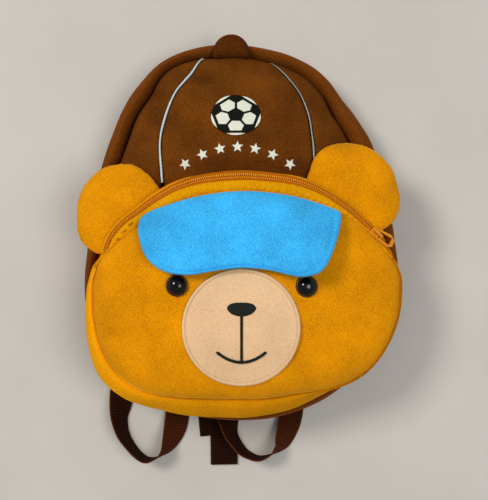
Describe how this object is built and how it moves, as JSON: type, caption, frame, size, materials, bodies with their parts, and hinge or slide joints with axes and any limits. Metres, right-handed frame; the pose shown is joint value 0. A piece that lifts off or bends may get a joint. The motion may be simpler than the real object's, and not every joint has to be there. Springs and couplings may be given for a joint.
{
  "type": "kids backpack",
  "caption": "Plush toddler backpack with a bear's face under a peaked cap, a zipped front pocket, padded shoulder straps and webbing loops, lying on its back.",
  "frame": {"origin": "middle of the bag's footprint, on the floor it lies on", "axes": "+X to the right in front view, +Y towards the bag's top, +Z out of its front, up as it lies"},
  "size_m": [0.2536, 0.3452, 0.1054],
  "materials": {
    "brown_plush": "short plush",
    "orange_plush": "short plush",
    "blue_plush": "short plush",
    "peach_plush": "short plush",
    "dark_thread": "embroidered",
    "white_thread": "embroidered",
    "piping": "woven",
    "zip_cloth": "woven",
    "zip_metal": "satin",
    "eye_plastic": "polished",
    "webbing": "ribbed woven",
    "adjuster_plastic": "moulded"
  },
  "bodies": {
    "bag": {"rear_rim": "brown_plush", "back_panel": "brown_plush", "crown_left": "brown_plush", "crown_centre": "brown_plush", "crown_right": "brown_plush", "front_lower": "brown_plush", "piping_left": "piping", "piping_right": "piping", "ball_patch": "white_thread", "cap_button": "brown_plush", "main_zip": "webbing", "pocket_face": "orange_plush", "pocket_gusset": "orange_plush", "zip_facing": "orange_plush", "zip_tape": "zip_cloth", "zip_coil": "zip_cloth", "zip_slider": "zip_metal", "ear_left": "orange_plush", "ear_right": "orange_plush", "visor": "blue_plush", "muzzle": "peach_plush", "nose": "dark_thread", "mouth": "dark_thread", "eye_left": "eye_plastic", "eye_right": "eye_plastic", "web_loop_left": "webbing", "web_loop_right": "webbing", "web_tail": "webbing", "shoulder_strap_left": "brown_plush", "shoulder_strap_right": "brown_plush", "strap_adjuster_left": "adjuster_plastic", "strap_adjuster_right": "adjuster_plastic"},
    "pull": {"zip_pull": "zip_metal"}
  },
  "joints": [
    {"name": "zip_pull_hinge", "type": "hinge", "parent": "bag", "child": "pull", "pos_m": [0.10114, 0.00956, 0.07712], "axis": [-0.4507, -0.8611, 0.2351], "range_deg": [0, 125]}
  ]
}
